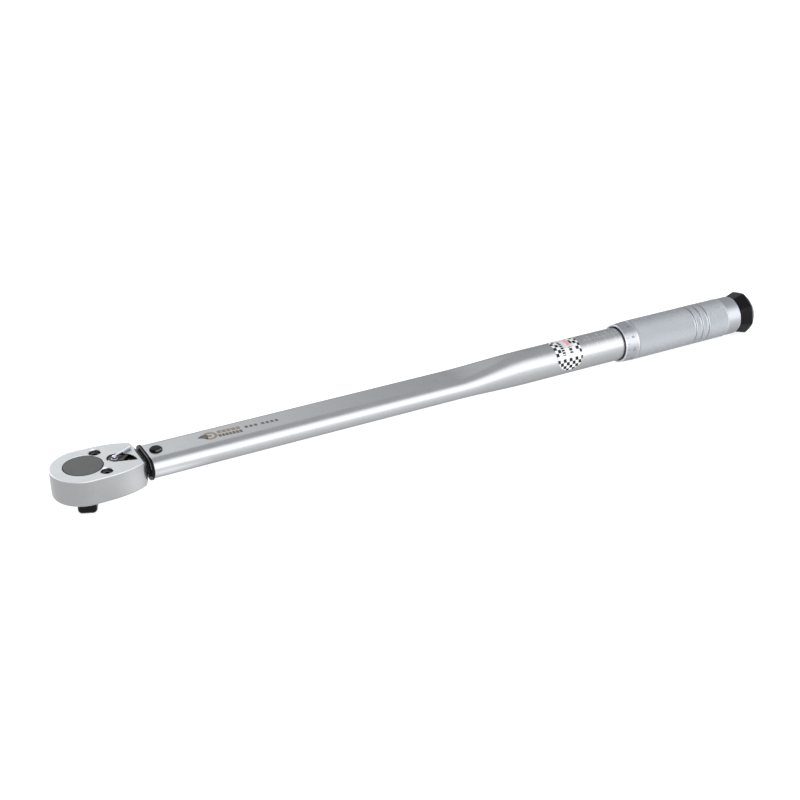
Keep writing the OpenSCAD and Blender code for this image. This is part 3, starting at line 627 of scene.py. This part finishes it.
def make_pin():
    """The pivot pin: its clip's groove below, and a wide domed head above."""
    top, low, r = PIN_HIGH.z, PIN_LOW.z, PIVOT_R
    groove_r, head_r, dome_r = r - 0.4, 4.4, 3.5
    bm = turned(rounded([
        (low, 0, 0), (low, r, 0.4), (low + 0.7, r, 0), (low + 0.7, groove_r, 0), (low + 1.45, groove_r, 0),
        (low + 1.45, r, 0), (top - 1.5, r, 0), (top - 1.5, head_r, 0.12), (top - 0.85, head_r, 0.15),
        (top - 0.1, dome_r, 0.15), (top, 0, 0)], 4, closed=False), "z", (PIVOT_X, 0), 72)
    # Painted glint on the front part of the head's bevel.
    paint(bm, 1, lambda c: top - 0.83 < c.z < top - 0.12 and -1.5 < c.x - PIVOT_X < 3.4 and c.y < -1.5)
    return deliver("pin_shell", bm, "tube", [BLACK_STEEL, PAINTED_GLINT], ["pivot_pin"])


# ---------------------------------------------------------------- tube

def oval(half_w, half_h, count=144):
    """Points spaced evenly round a flat-sided oval in the tube's section, as (y, z)."""
    flat = half_w - half_h
    bend = math.pi * half_h
    points = []
    for i in range(count):
        s = (4 * flat + 2 * bend) * i / count
        if s < flat:
            points.append((-s, half_h))
        elif s < flat + bend:
            a = math.pi / 2 + (s - flat) / half_h
            points.append((-flat + half_h * math.cos(a), half_h * math.sin(a)))
        elif s < 3 * flat + bend:
            points.append((s - 2 * flat - bend, -half_h))
        elif s < 3 * flat + 2 * bend:
            a = -math.pi / 2 + (s - 3 * flat - bend) / half_h
            points.append((flat + half_h * math.cos(a), half_h * math.sin(a)))
        else:
            points.append((4 * flat + 2 * bend - s, half_h))
    return points


def oval_ring(x, half_w, half_h):
    return [(x, y, z) for y, z in oval(half_w, half_h)]


def tube_ring(x, inset):
    """The tube's section at x, drawn in by inset: flat-sided in front, and round to the rear."""
    t = min(1.0, max(0.0, (x - FLAT_END_X) / (ROUND_START_X - FLAT_END_X)))
    t = t * t * (3 - 2 * t)
    r = FLAT_HALF_H + (TUBE_R - FLAT_HALF_H) * t
    return oval_ring(x, (FLAT_HALF_W - FLAT_HALF_H) * (1 - t) + r - inset, r - inset)


def make_tube():
    start, end = TUBE_LOW.x, TUBE_HIGH.x
    change = ROUND_START_X - FLAT_END_X
    edge = 0.9
    quarter = [math.pi / 2 * k / 5 for k in range(6)]
    stations = [(start + edge * (1 - math.sin(q)), edge * (1 - math.cos(q))) for q in reversed(quarter)]
    stations += [(x, 0) for x in (46, 60, 120, 180, 240)]
    stations += [(FLAT_END_X + change * k / 32, 0) for k in range(33)]
    stations += [(x, 0) for x in (380, 420, 460, end - 0.4)] + [(end, 0.4), (end, TUBE_WALL)]
    stations += [(FLAT_END_X + change * k / 16, TUBE_WALL) for k in range(16, -1, -1)]
    stations += [(start + 0.3, TUBE_WALL), (start, TUBE_WALL - 0.3)]
    bm = bmesh.new()
    loft(bm, [tube_ring(x, inset) for x, inset in stations], wrap=True)
    bm = cut(bm, pivot_hole(12))
    return deliver("tube_shell", bm, "tube", [TUBE_CHROME], ["outer_tube"])


def make_collar():
    """A moulded rubber band round the tube's mouth, with a thin lip towards the head."""
    lip_x, band_x, end_x = COLLAR_LOW.x, COLLAR_LOW.x + 1.0, COLLAR_HIGH.x
    full_w, full_h = COLLAR_HIGH.y, COLLAR_HIGH.z
    lip_w, lip_h, lip_bevel = 13.8, 6.5, 0.9
    inner_w, inner_h = 11.9, 5.5
    lip = rounded([(lip_x, 1, 0), (lip_x, 0, 0.35), (band_x, 0, 0)], 4, closed=False)
    band = rounded([(band_x, 2.0, 0), (band_x, 0, 0.75), (end_x - 0.75, 0, 0.15), (end_x - 0.6, 0.22, 0.1),
                    (end_x - 0.45, 0, 0.15), (end_x, 0, 0.3), (end_x, 2.0, 0)], 5, closed=False)
    rings = [oval_ring(x, lip_w - share * lip_bevel, lip_h - share * lip_bevel) for x, share in lip]
    rings += [oval_ring(x, full_w - inset, full_h - inset) for x, inset in band]
    rings += [oval_ring(x, inner_w, inner_h) for x in (end_x, lip_x + 0.2)]
    bm = bmesh.new()
    loft(bm, rings, wrap=True)
    # Painted highlight on a strip of the band's front rounding, above and below.
    paint(bm, 1, lambda c: band_x + 0.1 < c.x < band_x + 0.55 and abs(c.z) > 3)
    return deliver("collar_shell", bm, "tube", [COLLAR_RUBBER, PAINTED_GLINT],
                   ["dust_collar"])


# ---------------------------------------------------------------- marks on the tube and the grip

def wrapped(bm, radius):
    """Wraps a flat drawing (x, arc length, height) round the tube's axis."""
    for vertex in bm.verts:
        x, arc_length, height = vertex.co
        a = arc_length / radius
        vertex.co = (x, (radius + height) * math.cos(a), (radius + height) * math.sin(a))
    return bm


def bar(x0, x1, y0, y1, height, pieces=1):
    """A flat bar of a given height, in pieces along y so that it can be wrapped."""
    bm = bmesh.new()
    ys = [y0 + (y1 - y0) * i / pieces for i in range(pieces + 1)]
    loft(bm, [[(x0, y, -height), (x1, y, -height), (x1, y, height), (x0, y, height)] for y in ys])
    return bm


def numeral(number, size, height, at, weight=0.0):
    """A number as a thin solid that reads round the tube, centred at a place on the flat drawing."""
    curve = bpy.data.curves.new("numeral", "FONT")
    curve.body = str(number)
    curve.size = size
    curve.extrude = height
    curve.offset = weight
    curve.align_x = "CENTER"
    curve.align_y = "CENTER"
    curve.resolution_u = 3
    work = bpy.data.objects.new("numeral", curve)
    bpy.context.scene.collection.objects.link(work)
    bpy.context.view_layer.update()
    bm = bmesh.new()
    bm.from_mesh(work.evaluated_get(bpy.context.evaluated_depsgraph_get()).to_mesh())
    bpy.data.objects.remove(work)
    return moved(bm, shift(at[0], at[1], 0) @ spin(90, "Z"))


def make_tube_scale():
    """A plain scale on the tube's upper side: a base line, with ticks and a row of numbers to each side."""
    sink, line, size = 0.025, 0.08, 2.3
    start_x, step = 398, 4.5
    middle = TUBE_R * math.radians(112)
    parts = [bar(start_x - 2, start_x + 33.5, middle - 0.07, middle + 0.07, sink)]
    for i in range(8):
        x = start_x + step * i
        reach = 3.4 if i % 2 == 0 else 2.2
        parts.append(bar(x - line, x + line, middle - 0.05, middle + reach, sink, 4))
        if i % 2 == 0:
            parts.append(numeral(60 + 30 * i, size, sink, (x, middle + reach + 1.9)))
        parts.append(bar(x - line, x + line, middle - reach, middle + 0.05, sink, 4))
        if i % 2 == 1:
            parts.append(numeral(50 + 20 * i, size, sink, (x, middle - reach - 1.9)))
    return deliver("tube_scale", wrapped(merged(*parts), TUBE_R), "tube", [ETCH_PALE])


def ring_radius(x):
    """The scale ring's radius, which grows from its front edge to the knurl."""
    return RING_FRONT_R + (GRIP_R - 0.1 - RING_FRONT_R) * (x - GRIP_LOW.x) / (KNURL_START_X - GRIP_LOW.x)


def make_ring_scale():
    """Twenty ticks round the scale ring's front edge, and a number at every other one."""
    sink, line, ticks = 0.03, 0.13, 20
    start_x = GRIP_LOW.x + 0.7
    parts = []
    for i in range(ticks):
        place = 2 * math.pi * RING_FRONT_R * i / ticks
        length = 3.6 if i % 2 == 0 else 2.4
        parts.append(bar(start_x, start_x + length, place - line, place + line, sink))
        if i % 2 == 0:
            parts.append(numeral(i, 3.4, sink, (GRIP_LOW.x + 7.6, place), 0.09))
    bm = merged(*parts)
    for vertex in bm.verts:
        x, place, height = vertex.co
        a = place / RING_FRONT_R
        r = ring_radius(x) + height
        vertex.co = (x, r * math.cos(a), r * math.sin(a))
    return deliver("ring_scale", bm, "grip", [ETCH_GREY])


def make_etched_mark():
    """A plain etched mark on the flat: a turning arrow, two rows of blocks and a row of small dashes."""
    thick = 0.02
    levels = [(-thick, 0), (thick, 0)]
    centre, inner_r, outer_r = (88.2, 0.3), 3.2, 5.2
    ring = bmesh.new()
    loft(ring, [[(*inner, -thick), (*outer, -thick), (*outer, thick), (*inner, thick)] for inner, outer in
                zip(arc(inner_r, -150, 290, 40, centre), arc(outer_r, -150, 290, 40, centre))])
    hub = stack(circle(1.6, centre, 24), levels)
    arrow = stack([(79.4, 1.2), (85.8, -3.2), (87.4, 2.6), (83.2, 3.6)], levels)
    blocks = [bar(94.4 + 3.4 * i, 97.2 + 3.4 * i, 0.8 - 0.2 * i, 4.6 - 0.2 * i, thick) for i in range(5)]
    shades = [bar(93.6 + 2.5 * i, 95.6 + 2.5 * i, -4.1 - 0.15 * i, -0.6 - 0.15 * i, thick) for i in range(7)]
    dash_x, dash_y, pitch, lean = 114, 1.9, 3.4, 0.05
    starts = [dash_x + pitch * i for i in range(3)] + [dash_x + 12 + pitch * i for i in range(4)]
    tops = [dash_y - (x - dash_x) * lean for x in starts]
    dashes = [bar(x, x + 2.2, y - 2.9, y, thick) for x, y in zip(starts, tops)]
    lift = shift(0, 0, FLAT_HALF_H)
    deliver("etched_mark", moved(merged(ring, hub, *blocks), lift), "tube", [ETCH_BROWN])
    deliver("etched_shade", moved(merged(arrow, *shades), lift), "tube", [ETCH_DARK])
    deliver("etched_dashes", moved(merged(*dashes), lift), "tube", [ETCH_DARK])


# ---------------------------------------------------------------- label

def clipped(polygon, side):
    """The part of a polygon that lies on a line's inner side, where side() is positive."""
    out = []
    for i, p in enumerate(polygon):
        q = polygon[(i + 1) % len(polygon)]
        here, there = side(p), side(q)
        if here > -1e-9:
            out.append(p)
        if (here > -1e-9) != (there > -1e-9):
            t = here / (here - there)
            out.append((p[0] + (q[0] - p[0]) * t, p[1] + (q[1] - p[1]) * t))
    return out


def label_cells(edge, small):
    """Yields the squares of a fine grid cut to an outline, as (column, row, corners)."""
    low_x, high_x = min(p[0] for p in edge), max(p[0] for p in edge)
    low_y, high_y = min(p[1] for p in edge), max(p[1] for p in edge)
    for i in range(math.floor(low_x / small), math.ceil(high_x / small)):
        for j in range(math.floor(low_y / small), math.ceil(high_y / small)):
            x, y = i * small, j * small
            polygon = [(x, y), (x + small, y), (x + small, y + small), (x, y + small)]
            for a, b in zip(edge, edge[1:] + edge[:1]):
                polygon = clipped(polygon, lambda p, a=a, b=b: (b[0] - a[0]) * (p[1] - a[1])
                                  - (b[1] - a[1]) * (p[0] - a[0]))
                if len(polygon) < 3:
                    break
            if len(polygon) > 2:
                yield i, j, polygon


def label_colour(i, j):
    """0 film, 1 white, 2 black, 3 pink. Four steps of i or j make a chequer: chequers fill the lower end and
    run up both sides, round a plain field with bars across it."""
    column, row = i // 4, j // 4
    border = column < -2 or column > 2
    if row >= 0 or (border and row < -1):
        return 1 + (column + row + 1) % 2
    if border or i == -8 or i == 11 or j > -5:
        return 1
    if -7 <= i < -3 and j >= -25 and j % 3:
        return 2
    if 3 <= i < 7 and -27 <= j < -15:
        return 3
    if (3 <= i < 7 and -13 <= j < -5 and j % 4) or (8 <= i < 11 and -23 <= j < -17):
        return 2
    return 0 if j < -12 else 1


def make_label():
    """The oblong sticker. Its drawing lies in x and arc length, and is wrapped round the tube."""
    cell, thick, straight = 2.75, 0.15, 7.0
    shift_x, shift_arc = 1.07, -8.4
    middle_x = (LABEL_LOW.x + LABEL_HIGH.x) / 2
    middle_arc = (TUBE_R + 0.09) * math.radians(123)
    end = arc((LABEL_HIGH.x - LABEL_LOW.x) / 2, 0, 180, 30)
    edge = [(x + shift_x, y + straight + shift_arc) for x, y in end]
    edge += [(shift_x - x, shift_arc - straight - y) for x, y in end]
    bm = bmesh.new()
    for i, j, polygon in label_cells(edge, cell / 4):
        face = bm.faces.new([bm.verts.new((x, y, 0)) for x, y in polygon])
        face.material_index = label_colour(i, j)
    bmesh.ops.remove_doubles(bm, verts=bm.verts, dist=1e-3)
    top = bmesh.ops.extrude_face_region(bm, geom=bm.faces[:])["geom"]
    for vertex in (g for g in top if isinstance(g, bmesh.types.BMVert)):
        vertex.co.z = thick
    wrapped(moved(bm, shift(middle_x - shift_x, middle_arc - shift_arc, 0)), TUBE_R + 0.01)
    return deliver("label_sticker", bm, "tube",
                   [LABEL_FILM, LABEL_WHITE, LABEL_BLACK, LABEL_PINK], ["round_label"])


# ---------------------------------------------------------------- grip

def plain_rings(*places):
    """Rings (x, radius, knurl row) without a knurl."""
    return [(x, r, None) for x, r in places]


def knurl_rings(start, end):
    """Rings of a diamond knurl between two places, with a plain chamfered ring at each end."""
    count = max(2, round((end - start) / (KNURL_PITCH / 2)) - 1)
    step = (end - start) / (count + 1)
    rows = [(start + step * (k + 1), GRIP_R, k) for k in range(count)]
    return plain_rings((start, GRIP_R - 0.15)) + rows + plain_rings((end, GRIP_R - 0.15))


def grip_rings():
    """The sleeve's rings: outside from the scale ring to the plain band, then back through its bore."""
    front, ring_end, knurl, band = GRIP_LOW.x, KNURL_START_X - 0.55, KNURL_START_X, KNURL_END_X
    rings = plain_rings(
        (front, 13.9), (front, RING_FRONT_R - 0.45), (front + 0.15, RING_FRONT_R - 0.15),
        (front + 0.5, ring_radius(front + 0.5)), (ring_end, ring_radius(ring_end)),
        (knurl - 0.3, GRIP_R - 0.02), (knurl, GRIP_R))
    start = knurl + 0.25
    for x in GROOVES_X:
        rings += knurl_rings(start, x - 0.6)
        rings += plain_rings((x - 0.38, GRIP_R - 0.15), (x - 0.26, GRIP_R - 0.5), (x + 0.26, GRIP_R - 0.5),
                             (x + 0.38, GRIP_R - 0.15))
        start = x + 0.6
    screw_r, room_r, bush_r, lead_r = 7.02, 13.6, 14.5, 13.9
    back_x, bush_end_x, bush_x = 533, 444, 436
    return rings + knurl_rings(start, band) + plain_rings(
        (band + 0.25, BAND_R - 0.2), (band + 0.6, BAND_R), (BAND_END_X - 1, BAND_R),
        (BAND_END_X - 0.35, BAND_R - 0.22), (BAND_END_X, BAND_R - 0.6), (BAND_END_X, screw_r),
        (back_x, screw_r), (back_x, room_r), (bush_end_x, room_r), (bush_end_x, bush_r), (bush_x, bush_r),
        (bush_x, lead_r))


def make_grip():
    """The sleeve: scale ring, diamond knurl with three grooves, plain band, and the bore inside."""
    around = 108
    bm = bmesh.new()
    loops = []
    for x, r, row in grip_rings():
        loop = []
        for j in range(around):
            a = 2 * math.pi * j / around
            radius = r - KNURL_DEPTH if row is not None and (row + j) % 2 == 0 else r
            loop.append(bm.verts.new((x, radius * math.cos(a), radius * math.sin(a))))
        loops.append((loop, row))
    for (a, row), (b, next_row) in zip(loops, loops[1:] + loops[:1]):
        for j in range(around):
            k = (j + 1) % around
            if row is None or next_row is None:
                bm.faces.new((a[j], a[k], b[k], b[j]))
            elif (row + j) % 2 == 0:
                bm.faces.new((a[j], a[k], b[k]))
                bm.faces.new((a[j], b[k], b[j]))
            else:
                bm.faces.new((a[j], a[k], b[j]))
                bm.faces.new((a[k], b[k], b[j]))
    for degrees in (-90, 180):
        hole = stack(circle(1.52, count=24), [(6, 0), (BAND_R - 0.25, 0), (BAND_R + 1, -1.25)])
        bm = cut(bm, moved(hole, shift(SET_SCREW_X, 0, 0) @ spin(degrees, "X")))
    outside = GRIP_R - 0.62
    front, knurl = GRIP_LOW.x, KNURL_START_X
    # Painted highlight on three rings: the scale ring's front chamfer, the chamfer before the knurl, and the
    # band's rear edge.
    bright = [(front + 0.05, front + 0.5), (knurl - 0.54, knurl - 0.25), (BAND_END_X - 1, BAND_END_X)]
    paint(bm, 1, lambda c: knurl < c.x < KNURL_END_X and math.hypot(c.y, c.z) > outside)
    paint(bm, 2, lambda c: math.hypot(c.y, c.z) > 14.6 and any(low < c.x < high for low, high in bright))
    return deliver("grip_shell", bm, "grip", [GRIP_CHROME, KNURL_CHROME, PAINTED_HIGHLIGHT],
                   ["grip_sleeve"], crease=15)


def soft_least(a, b, soft):
    """The lesser of two numbers, rounded over where they meet."""
    room = b - a
    return a - soft * math.log(1 + math.exp(-room / soft)) if room > -20 * soft else b


def make_knob():
    """The flared lock knob: eight flats that lean outwards to the rear, then a turned rear cone."""
    start, end = KNOB_LOW.x, KNOB_HIGH.x
    wide = start + 11
    front_flat, wide_flat, corner_r, bore_r = 13.9, 16.9, 18.1, 9.1
    soft, around, step = 0.35, 240, 0.8
    profile = rounded([(start, 9, 0), (start, front_flat + 1.05, 0.3), (wide, corner_r, 0.7),
                       (end - 1.5, corner_r - 4.8, 1.2), (end, corner_r - 6.1, 0.4), (end, bore_r, 0.2),
                       (end - 2.8, bore_r - 0.05, 0)], 6, closed=False)
    stations = []
    for (x0, r0), (x1, r1) in zip(profile, profile[1:]):
        pieces = max(1, math.ceil(abs(x1 - x0) / step))
        stations += [(x0 + (x1 - x0) * k / pieces, r0 + (r1 - r0) * k / pieces) for k in range(pieces)]
    stations.append(profile[-1])
    flat_span = 2 * math.pi / KNOB_FLATS
    rings = []
    for x, r in stations:
        across = front_flat + (wide_flat - front_flat) * (x - start) / (wide - start)
        ring = []
        for j in range(around):
            a = 2 * math.pi * j / around
            off = (a - math.radians(KNOB_TURN) + flat_span / 2) % flat_span - flat_span / 2
            radius = soft_least(r, across / math.cos(off), soft)
            ring.append((x, radius * math.cos(a), radius * math.sin(a)))
        rings.append(ring)
    bm = bmesh.new()
    loft(bm, [[(start, 0, 0)]] + rings + [[(end - 2.8, 0, 0)]])
    seat = stack(circle(8.11, count=6), [(start - 1, 0), (end - 2.85, 0)])
    x_is_up = Matrix(((0, 0, 1, 0), (1, 0, 0, 0), (0, 1, 0, 0), (0, 0, 0, 1)))
    bm = cut(bm, moved(seat, x_is_up))
    paint(bm, 1, lambda c: wide - 0.7 < c.x < wide + 1.1 and math.hypot(c.y, c.z) > 14)
    return deliver("knob_shell", bm, "knob", [KNOB_PLASTIC, KNOB_EDGE], ["lock_knob"],
                   crease=28)


def make_knob_cap():
    """The plug in the knob's end, with a shallow dish in its face."""
    low, high = box_mm("knob_cap")
    r, dish_x = high.z, high.x - 0.4
    bm = turned([(low.x, 0), (low.x, r)] + rounded([(low.x + 1, r, 0), (high.x, r, 0.5), (high.x, 4, 0.2),
                                                    (dish_x, 3.4, 0.2), (dish_x, 0, 0)], closed=False))
    return deliver("cap_shell", bm, "knob", [KNOB_PLASTIC], ["knob_cap"])


# ---------------------------------------------------------------- springs

def coil(mid_r, wire_r, height, turns, a_turn=32, sides=12):
    """A coil spring standing on z = 0."""
    count = turns * a_turn
    rise = height - 2 * wire_r
    rings = []
    for i in range(count + 1):
        turn = 2 * math.pi * i / a_turn
        section = circle(wire_r, (mid_r, wire_r + rise * i / count), sides)
        rings.append([(r * math.cos(turn), r * math.sin(turn), z) for r, z in section])
    bm = bmesh.new()
    loft(bm, rings)
    return bm


def make_springs():
    low, high = box_mm("main_spring")
    front = low.x + ROD_THRUST
    main = moved(coil(8.3, 2.0, high.x - front, 7, 40, 16), shift(front, 0, 0) @ spin(90, "Y"))
    spring = deliver("main_spring_coil", main, "tube", [SPRING_STEEL], ["main_spring"])
    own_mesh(spring)

    length, way = 6.54, DETENT_WAY
    detent = moved(coil(1.6, 0.3, length, 5), shift(0, 0, DETENT_Z) @ way @ shift(0, 0, DETENT_FOOT))
    spring = deliver("detent_spring_coil", detent, "drive", [SPRING_STEEL], ["detent_spring"])
    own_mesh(spring)

    length, way = 2.6, PLUNGER_WAY
    small = moved(coil(0.8, 0.2, length, 4), shift(SPINDLE_X, 0, PLUNGER_Z) @ way @ shift(0, 0, PLUNGER_FOOT))
    spring = deliver("lever_spring_coil", small, "lever", [SPRING_STEEL], ["lever_spring"])
    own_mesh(spring)


# ---------------------------------------------------------------- stage

def floor_glow(tree):
    """The floor's own light: nearly even, with more to the tube's sides and in a patch by the head."""
    place = add_node(tree, "TexCoord").outputs["Object"]
    split = add_node(tree, "SeparateXYZ", {"Vector": place})
    away = add_node(tree, "Math", {0: split.outputs["Y"]}, operation="ABSOLUTE").outputs["Value"]
    beside = ramp(tree, away, 0.012, 0.09, 0.0, 0.38, "SMOOTHSTEP")
    behind = ramp(tree, split.outputs["X"], -0.05, 0.07, 0.0, 1.0, "SMOOTHSTEP")
    side = add_node(tree, "Math", {0: beside, 1: behind}, operation="MULTIPLY").outputs["Value"]
    head_way = add_node(tree, "VectorMath", {0: place, 1: (0.06, -0.04, 0)}, operation="DISTANCE")
    patch = ramp(tree, head_way.outputs["Value"], 0.0, 0.041, 0.9, 0.0, "SMOOTHSTEP")
    near = add_node(tree, "Math", {0: side, 1: patch}).outputs["Value"]
    far = ramp(tree, away, 0.2, 1.0, 0.84, 1.0, "SMOOTHSTEP")
    return add_node(tree, "Math", {0: near, 1: far}).outputs["Value"]


def make_floor():
    """A pale floor that the drive tip and the knob both rest on."""
    slope = (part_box("lock_knob")[0].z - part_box("drive_gear")[0].z) / ((KNOB_LOW.x + 8.5) * MM)
    size = 6.0
    corners = ((-size, -size), (size, -size), (size, size), (-size, size))
    bm = bmesh.new()
    bm.faces.new([bm.verts.new((x, y, slope * x)) for x, y in corners])
    mesh = bpy.data.meshes.new("floor")
    bm.to_mesh(mesh)
    bm.free()
    material = surface("floor_paper", (0.3, 0.3, 0.3), 0, 0.8, 2, bump=0.02, tint=0.005, ior=1.2)
    tree = material.node_tree
    shader = tree.nodes["Principled BSDF"]
    shader.inputs["Emission Color"].default_value = (1, 1, 1, 1)
    tree.links.new(floor_glow(tree), shader.inputs["Emission Strength"])
    mesh.materials.append(material)
    floor = bpy.data.objects.new("floor", mesh)
    bpy.context.scene.collection.objects.link(floor)


def make_world():
    """A plain studio: an even base, a wide bright field in front and a smaller one high behind."""
    world = bpy.data.worlds.new("studio")
    world.use_nodes = True
    bpy.context.scene.world = world
    tree = world.node_tree
    view = add_node(tree, "TexCoord").outputs["Generated"]

    def lobe(direction, low, high, strength):
        """Light that grows as the view turns towards a direction."""
        towards = Vector(direction).normalized()
        dot = add_node(tree, "VectorMath", {0: view, 1: towards}, operation="DOT_PRODUCT").outputs["Value"]
        return ramp(tree, dot, low, high, 0, strength, "SMOOTHSTEP")

    front = lobe((0.25, -1, 0.12), 0.35, 0.85, 2.05)
    rear = lobe((-0.11, 0.88, 0.45), 0.82, 0.99, 1.2)
    both = add_node(tree, "Math", {0: front, 1: rear}).outputs["Value"]
    light = add_node(tree, "Math", {0: both, 1: 0.85}).outputs["Value"]
    background = tree.nodes["Background"]
    background.inputs["Color"].default_value = (0.97, 0.985, 1.0, 1)
    tree.links.new(light, background.inputs["Strength"])


def make_camera():
    """The camera at the photograph's place, with the photograph's perspective."""
    place = (-0.16978, -0.73939, 0.45815)
    ahead = Vector((0.4276037, 0.7789595, -0.4586689))
    up = Vector((0.2225066, 0.4010877, 0.8886054))
    camera = bpy.data.cameras.new("camera")
    camera.sensor_width = 36
    camera.lens = 58.164
    camera.clip_start, camera.clip_end = 0.01, 50
    eye = bpy.data.objects.new("camera", camera)
    eye.matrix_world = Matrix.Translation(place) @ Matrix((ahead.cross(up), up, -ahead)).transposed().to_4x4()
    bpy.context.scene.collection.objects.link(eye)
    bpy.context.scene.camera = eye


make_head()
make_cover_screws()
make_drive()
make_lever()
make_pin()
make_tube()
make_collar()
make_tube_scale()
make_ring_scale()
make_etched_mark()
make_label()
make_grip()
make_knob()
make_knob_cap()
make_springs()
make_floor()
make_world()
make_camera()
bpy.context.scene.view_settings.view_transform = "Standard"
